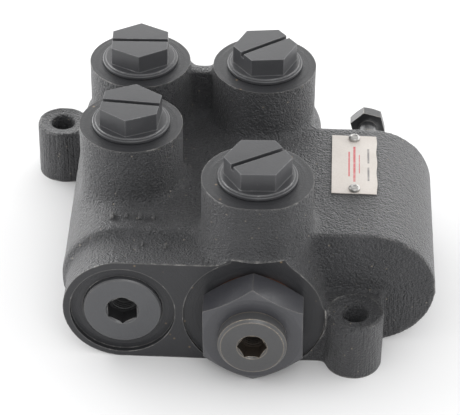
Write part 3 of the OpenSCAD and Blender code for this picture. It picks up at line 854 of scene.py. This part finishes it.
# %% One port plug
def port_plug(name):
    x, y, boss_r, turn = PORTS[name]
    plug = turned("port_plug_moulding_" + name, [
        (0, -8), (10.5, -8), (11.5, -9), (11.5, -15), (15.0, -15), (16.0, -14), (16.0, -3.6), (15.2, -3.4),
        (15.2, 0), (21.3, 0), (21.7, 0.4), (21.7, 1.8), (21.3, 2.2), (20.1, 2.2), (19.9, 2.9), (0, 2.9)])
    machine(plug, hexagon("hex", 32, 1.0, 13.6, turn + 30), "UNION")
    slot = place(block("slot", -25, 25, -1.35, 1.35, 10.6, 18), (0, 0, 0),
                 Matrix.Rotation(math.radians(turn), 4, "Z"))
    machine(plug, slot)
    soften(plug, 0.22, 2, 28, flats=False)
    thread = place(helix("thread", 15.75, 8.6, 4, 0.85, 6, 36, PLASTIC), (0, 0, -13.2))
    join(plug, thread)
    soften(plug, 0, angle=32)
    place(plug, (x, y, PORT_Z))
    body = "plug_" + name
    return finish_piece(plug, PLASTIC, body, "plug_plastic", "port_plug_" + name)


for name in PORTS:
    port_plug(name)

# %% [markdown]
# ## Steel plugs of the spool bore
# Front and rear plugs are the same: a turned head sunk into the face, with a
# hexagon key socket. The socket is drilled first, which leaves rings in its
# depth, and then broached to a hexagon. The rim has a fine chamfer.


# %% Spool bore plugs
def key_socket(piece, flats, top, depth, turn, head_finish, socket_finish):
    """Broaches a hexagon into a turned head, over a deeper drilled hole with rings."""
    def cutter(obj):
        obj.data.materials.append(socket_finish)
        return obj
    piece.data.materials.append(head_finish)
    piece.data.materials.append(socket_finish)
    corner = flats / math.sqrt(3)
    machine(piece, cutter(hexagon("socket", flats, top - depth, top + 2, turn)))
    machine(piece, turned("mouth", [(0, top - 1.0), (corner - 0.9, top - 1.0), (corner + 0.6, top + 0.5),
                                    (0, top + 0.5)]))
    r = flats / 2 * 0.93
    floor_z = top - depth
    drill = [(0, floor_z - 7), (r - 1, floor_z - 6.5)]
    for ring in range(4):
        base = floor_z - 6.3 + ring * 1.7
        drill += [(r - 0.7, base), (r, base + 0.3), (r, base + 1.1), (r - 0.7, base + 1.4)]
    machine(piece, cutter(turned("drill", drill + [(0, floor_z + 0.5)], 48)))
    return piece


def spool_plug(name, where, turn_to, node):
    plug = turned(name, [
        (0, -18.4), (15.2, -18.4), (16.0, -17.4), (16.0, -3.6), (15.2, -3.6), (15.2, 0), (21.6, 0),
        (21.6, 3.3), (20.9, 4.0), (0, 4.0)])
    # The socket takes a darker steel than the head: painted shade inside the key socket.
    key_socket(plug, 15.9, 4.0, 9.5, 30, STEEL_LEFT, SOCKET_SHADE)
    join(plug, place(helix("thread", 15.8, 12, 6, 0.8, 6, 36, STEEL_LEFT), (0, 0, -16.6)))
    soften(plug, 0, angle=32)
    place(plug, where, turn_to)
    return finish_piece(plug, None, "valve", "black_steel", node)


spool_plug("spool_bore_plug_front", (LEFT_X, SEAT + HEAD_SINK, BORE_Z), TO_FRONT, "spool_plug_front")
spool_plug("spool_bore_plug_rear", (LEFT_X, -SEAT - HEAD_SINK, BORE_Z), TO_REAR, "spool_plug_rear")

# %% [markdown]
# ## Relief valve cap and cover plug
# The cap is a large hexagon whose corners are turned away at both ends: the
# hexagon is intersected with a turned, double-chamfered bar, which gives the
# scalloped arcs on each flat. The cover plug in its middle has a worn rim.


# %% Hexagon with turned ends
def turned_hexagon(name, flats, h0, h1, turn, both=True):
    corner, face_r = flats / math.sqrt(3), flats / 2 * 0.985
    drop_h = (corner - face_r) * 0.577
    bar = turned("bar", [(0, h0), (face_r if both else corner + 1, h0),
                         (corner + 0.1, h0 + (drop_h if both else 0.01)), (corner + 0.1, h1 - drop_h),
                         (face_r, h1), (0, h1)])
    hexa = hexagon(name, flats, h0 - 1, h1 + 1, turn)
    return machine(hexa, bar, "INTERSECT")


WASHER_T = 1.2
CAP_FRONT = low_of("relief_cap", 1)
cap_h = high_of("relief_cap_washer", 1) - WASHER_T - CAP_FRONT
cap = turned_hexagon("relief_valve_cap", 54.2, 0, cap_h, 31)
soften(cap, 0.2, 2, 22, flats=False)
back_y = SEAT - WASHER_T


def cap_at(y):
    """Height, along the cap, of a plane at y. Behind the hexagon it is negative."""
    return back_y - y


machine(cap, turned("neck", [
    (0, 0.5), (19.2, 0.5), (19.2, cap_at(-85.5)), (20.6, cap_at(-85.5) - 0.3), (20.6, cap_at(-74)),
    (17.5, cap_at(-74)), (17.5, cap_at(-50)), (0, cap_at(-50))]), "UNION")
machine(cap, turned("cover_bore", [(0, cap_h - 16.2), (13.5, cap_h - 16.2), (13.5, cap_h - 3.6),
                                   (16, cap_h), (16, cap_h + 2), (0, cap_h + 2)]))
machine(cap, rod("screw_bore", 6.35, cap_at(-85) - 1, cap_h))
machine(cap, rod("spring_bore", 12, cap_at(-50) - 1, cap_at(-85)))
for angle in (45, 135, 225, 315):
    machine(cap, place(rod("hole", 3, 0, 25, 32), (0, 0, cap_at(-68)),
                       Matrix.Rotation(math.radians(angle), 4, "Z") @ TO_RIGHT))
soften(cap, 0, angle=22)
place(cap, (RIGHT_X, back_y, BORE_Z), TO_FRONT)
finish_piece(cap, STEEL_CAP, "valve", "black_steel", "relief_cap")

# %% Cover plug with its worn rim
cover = turned("relief_cover_cap", [
    (0, -9.2), (12.2, -9.2), (13.0, -8.4), (13.0, -3.6), (11.9, -3.6), (11.9, 0), (18.6, 0), (18.6, 6.2),
    (17.1, 7.7), (0, 7.7)])
# The socket's rust finish is darkened as painted shade inside the socket.
key_socket(cover, 14, 7.7, 9.0, 0, STEEL_COVER, RUST_AND_SHADE)
soften(cover, 0, angle=25)
place(cover, (RIGHT_X, CAP_FRONT, BORE_Z), TO_FRONT)
finish_piece(cover, None, "valve", "black_steel", "relief_cover_plug")

# %% [markdown]
# ## Control stem at the back of the lobe
# A bonnet closes the control bore, a jam nut locks the stem, and the stem's
# hexagon head turns it. The stem's thread is visible between nut and head, so it
# gets real ridges from the helix tree.

# %% Bonnet and jam nut
STEM_FLATS = 19.05  # three quarters of an inch, on the nut and on the stem's head
bonnet = turned_hexagon("control_bore_bonnet", 41.3, 1, 12, 0)
soften(bonnet, 0.2, 2, 22, flats=False)
machine(bonnet, turned("nose", [
    (0, -NOSE_L), (18, -NOSE_L), (18.9, 1 - NOSE_L), (18.9, -3.6), (17.6, -3.6), (17.6, 0), (20.65, 0),
    (20.65, 1.2), (0, 1.2)]), "UNION")
machine(bonnet, rod("spring_room", 12.5, -NOSE_L - 1, -13))
machine(bonnet, rod("stem_hole", 6.4, -14, 14))
soften(bonnet, 0, angle=22)
place(bonnet, (LOBE_X, bonnet_y, LOBE_Z), TO_REAR)
finish_piece(bonnet, STEEL_LOBE, "valve", "black_steel", "control_bonnet")
nut = turned_hexagon("stem_jam_nut", STEM_FLATS, 0, 8, 0)
soften(nut, 0.12, 2, 22, flats=False)
machine(nut, turned("nut_hole", [(0, -1), (7.4, -1), (6.4, 1), (6.4, 7), (7.4, 9), (0, 9)]))
soften(nut, 0, angle=22)
place(nut, (LOBE_X, bonnet_y + 12, LOBE_Z), TO_REAR)
finish_piece(nut, STEEL_LOBE, "valve", "black_steel", "control_jam_nut")

# %% Adjusting stem
HEAD_H = 7.5
stem_low, stem_high = low_of("control_stem", 1), high_of("control_stem", 1)
stem = turned_hexagon("adjusting_stem", STEM_FLATS, 0, HEAD_H, 15, both=False)
soften(stem, 0.12, 2, 22, flats=False)
shank = stem_high - HEAD_H - stem_low
machine(stem, turned("shank", [
    (0, -shank), (5.4, -shank), (6.1, -shank + 1), (6.1, -6), (5.6, -5.5), (5.6, -1), (7.6, 0.2), (0, 0.2)]),
    "UNION")
pitch = 25.4 / 13  # thirteen threads to the inch
thread_l = shank - 12
thread = helix("thread", 5.75, thread_l, thread_l / pitch, 0.6, 6, 32, STEEL_LOBE)
join(stem, place(thread, (0, 0, -shank + 3)))
soften(stem, 0, angle=32)
place(stem, (LOBE_X, stem_high - HEAD_H, LOBE_Z), TO_REAR)
finish_piece(stem, STEEL_LOBE, "stem", "black_steel", "control_stem")

# %% [markdown]
# ## Name plate
# A thin printed aluminium plate held by two drive screws. It is not quite flat
# and its long edges wander a little, so its outline is a grid pushed by sines.
# The real plate carries print; here plain red and black bars stand for it.

# %% The plate's print, as a material
PLATE, s, shader = new_material("printed_plate", Metallic=0.0, Specular_IOR_Level=0.5)
spot = s.split(s.here())
px, py = s.sub(spot[0], plate_mid[0] * MM), s.sub(spot[1], plate_mid[1] * MM)


def bar(x0, x1, y0, y1):
    """1 inside a rectangle on the plate, in millimetres from its middle."""
    def inside(value, low, high):
        return s.mul(s.math("GREATER_THAN", value, low * MM), s.math("LESS_THAN", value, high * MM))
    return s.mul(inside(px, x0, x1), inside(py, y0, y1))


red = s.most(bar(-0.6, 0.7, -17, 17), bar(-3.4, -2.5, -12, 12), bar(2.6, 3.1, -9, 9))
black = s.most(bar(7.4, 8.5, -16, -3), bar(7.4, 8.5, 1, 15))
breaks = s.range(noise_of(s, s.here(), 300.0, 2.0), 0.35, 0.5, 0.7, 1.0)
skin = use(s, GRAIN, Peel=0.4, Waves=0.8, Pits=0.2)
base = by_tone(s, skin, (0.52, 0.47, 0.43), (0.66, 0.62, 0.58))
base = mix_colour(s, s.mul(red, s.mul(breaks, 0.85)), base, (0.55, 0.06, 0.08))
base = mix_colour(s, s.mul(black, s.mul(breaks, 0.75)), base, (0.10, 0.10, 0.11))
s.feed(shader.inputs["Base Color"], base)
s.feed(shader.inputs["Roughness"], by_tone(s, skin, 0.38, 0.55))
bump(s, shader, skin["Height"], 0.00005)

# %% The plate's shape
half_w, half_l, thick = 12.75, 28.0, 0.7
cols, rows = 12, 28
verts = []
for r in range(rows + 1):
    v = r / rows * 2 - 1
    for c in range(cols + 1):
        u = c / cols * 2 - 1
        edge_x = 0.25 * math.sin(9 * v + 1) * max(u, 0) ** 2
        lift = 0.10 * math.sin(7 * v) * abs(u) ** 3 + 0.05 * (1 + math.sin(5 * u))
        verts.append(((u * half_w + edge_x) * MM, v * half_l * MM, (PLATE_Z + 0.05 + lift) * MM))
faces = [(r * (cols + 1) + c, r * (cols + 1) + c + 1, (r + 1) * (cols + 1) + c + 1, (r + 1) * (cols + 1) + c)
         for r in range(rows) for c in range(cols)]
plate = place(new_object("rating_plate", verts, faces), (plate_mid[0], plate_mid[1], 0))
solid = plate.modifiers.new("sheet", "SOLIDIFY")
solid.thickness, solid.offset = (thick - 0.15) * MM, 1.0
settle(plate)
soften(plate, 0.12, 2, 40)
finish_piece(plate, PLATE, "valve", "plate_aluminium", "name_plate")

# %% Geometry Nodes: copies of a small part in a row
ROW, s, i, o = new_shape_tree("row_of_parts", [
    ("Count", "Int", 2), ("Start", "Vector", (0, 0, 0)), ("Step", "Vector", (0, 0.049, 0)),
    ("Material", "Material", None)])
line = s.node("GeometryNodeMeshLine", mode="OFFSET")
s.feed(line.inputs["Count"], i["Count"])
s.feed(line.inputs["Start Location"], i["Start"])
s.feed(line.inputs["Offset"], i["Step"])
copies = s.node("GeometryNodeInstanceOnPoints")
s.feed(copies.inputs["Points"], line.outputs[0])
s.feed(copies.inputs["Instance"], i["Geometry"])
close_tree(s, copies.outputs[0], i, o)

# %% Two drive screws
screws = turned("plate_drive_screws", [
    (0, -6.0), (1.0, -6.0), (1.5, -5.2), (1.5, 0.75), (3.0, 0.75), (3.25, 1.0), (3.25, 1.9), (3.0, 2.4),
    (2.4, 2.9), (1.7, 3.1), (1.3, 2.7), (0, 2.5)], 40)
grow(screws, ROW, Count=2, Step=(0.0, 2 * SCREW_Y * MM, 0.0),
     Start=(plate_mid[0] * MM, (plate_mid[1] - SCREW_Y) * MM, PLATE_Z * MM), Material=ZINC)
soften(screws, 0, angle=35)
finish_piece(screws, ZINC, "valve", "zinc_steel", "plate_screws")

# %% [markdown]
# ## Raised marks in the casting
# The mould leaves raised marks beside the ports. Plain bars stand for them here:
# small rounded pads, sunk a little into the skin, set out by the row tree.

# %% Raised pads on the deck and on the front step
pads = soften(block("casting_marks", -0.9, 0.9, -2.4, 2.4, -2.0, 0.7), 0.5, 3, 30, flats=False)
grow(pads, ROW, Count=4, Start=(-0.0455, -0.0545, 0.0708), Step=(0.0075, 0.0003, -0.0002), Material=CAST)
low_pads = soften(block("low_pads", -0.7, 0.7, -1.8, 1.8, -2.0, 0.45), 0.4, 3, 30, flats=False)
grow(low_pads, ROW, Count=2, Start=(-0.0275, -0.0730, 0.0660), Step=(0.0125, -0.0015, 0.0), Material=CAST)
join(pads, low_pads)
soften(pads, 0, angle=40, flats=False)
finish_piece(pads, CAST, "valve", "cast_body")

# %% [markdown]
# ## CAD nodes that stay
# The seals, the spool, the poppet and the other inner pieces already have the
# right shape. They keep their CAD mesh and get a worked finish.

# %% Finishes for the carried-over nodes
FINISHES = {
    RUBBER: ["port_seal_" + name for name in PORTS] + ["spool_plug_front_seal", "spool_plug_rear_seal",
                                                       "relief_cover_seal", "control_bonnet_seal"],
    GROUND: ["priority_spool", "relief_poppet", "relief_seat", "control_piston"],
    ZINC: ["relief_adjusting_screw", "relief_spring_guide", "control_spring_guide"],
    COPPER: ["relief_cap_washer"],
}
for material, nodes in FINISHES.items():
    for node in nodes:
        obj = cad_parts[node]
        for holder in obj.material_slots:
            holder.material = material
print("finished nodes:", sum(len(n) for n in FINISHES.values()))

# %% [markdown]
# ## Floor, light and camera
# The valve stands on plain white card under large soft lights, with white
# all round, so black iron shows its shape by what it mirrors at a low angle.

# %% White floor
PAPER, s, shader = new_material("white_card", Roughness=0.9, Specular_IOR_Level=0.1)
tone = noise_of(s, s.here(), 6.0, 2.0)
s.feed(shader.inputs["Base Color"], mix_colour(s, tone, (0.82, 0.82, 0.825), (0.85, 0.85, 0.85)))
floor = new_object("floor_card", [(-4, -4, 0), (4, -4, 0), (4, 4, 0), (-4, 4, 0)], [(0, 1, 2, 3)])
floor.data.materials.append(PAPER)


# %% Soft light
def soft_light(name, where, size, power, target):
    light = bpy.data.lights.new(name, "AREA")
    light.shape, light.size, light.size_y, light.energy = "RECTANGLE", size[0], size[1], power
    obj = bpy.data.objects.new(name, light)
    bpy.context.scene.collection.objects.link(obj)
    obj.location = where
    obj.rotation_euler = (Vector(target) - Vector(where)).to_track_quat("-Z", "Y").to_euler()
    return obj


soft_light("back_wall", (0, 1.5, 0.42), (3.6, 0.8), 20.0, (0, 0, 0.2))
soft_light("left_card", (-1.35, 0.55, 0.42), (1.7, 0.8), 21.0, (0, 0, 0.1))
soft_light("right_card", (1.35, 0.45, 0.42), (1.7, 0.8), 11.0, (0, 0, 0.1))
soft_light("front_fill", (0.4, -1.4, 1.3), (0.9, 0.9), 7.0, (0, 0, 0.04))
world = bpy.data.worlds.new("studio")
bpy.context.scene.world = world
world.use_nodes = True
world.node_tree.nodes["Background"].inputs["Color"].default_value = (1.0, 1.0, 1.0, 1.0)
world.node_tree.nodes["Background"].inputs["Strength"].default_value = 0.93
bpy.context.scene.view_settings.view_transform = "Standard"
print("floor, four soft lights and a white surround")

# %% Camera
camera = bpy.data.objects.new("camera", bpy.data.cameras.new("camera"))
bpy.context.scene.collection.objects.link(camera)
forward = Vector((-0.0327, 0.8, -0.5992)).normalized()
side = forward.cross(Vector((0, 0, 1))).normalized()
up = side.cross(forward)
roll = 0.00995
right_axis = (side + up * roll).normalized()
up_axis = (up - side * roll).normalized()
turn = Matrix((right_axis, up_axis, -forward)).transposed()
camera.matrix_world = Matrix.Translation((0.0574, -0.9864, 0.7767)) @ turn.to_4x4()
camera.data.sensor_width = 36
camera.data.lens = 166.6
camera.data.clip_start, camera.data.clip_end = 0.05, 20
bpy.context.scene.camera = camera
print("camera at", [round(v, 3) for v in camera.location])
